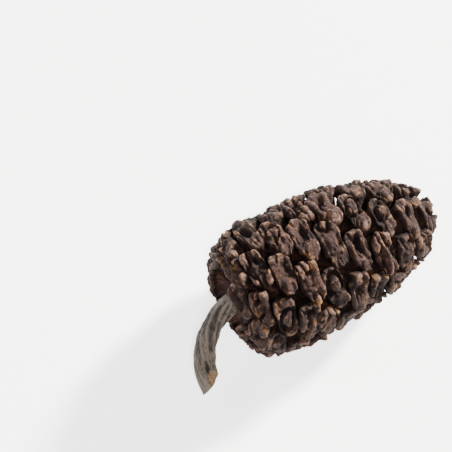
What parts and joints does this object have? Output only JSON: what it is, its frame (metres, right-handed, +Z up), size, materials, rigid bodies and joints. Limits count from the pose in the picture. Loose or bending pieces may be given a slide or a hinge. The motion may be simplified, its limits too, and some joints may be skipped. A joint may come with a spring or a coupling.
{
  "type": "alder cone",
  "caption": "Ripe open alder cone lying on its side: spiral woody scales with thick, lobed, crumpled ends, on a short bent stem snapped off at its end.",
  "frame": {"origin": "middle of the bottom of the object's box, on the surface that it lies on", "axes": "+X along the cone from its base to its tip, +Z up"},
  "size_m": [0.0266, 0.0126, 0.0126],
  "materials": {
    "scales": "dry, dark reddish brown wood, crumpled, paler and worn on the raised edges",
    "stem": "dry grey-brown bark with long grooves, pale wood at the broken end"
  },
  "bodies": {
    "root": {"cone": "scales", "stem": "stem"}
  },
  "joints": []
}
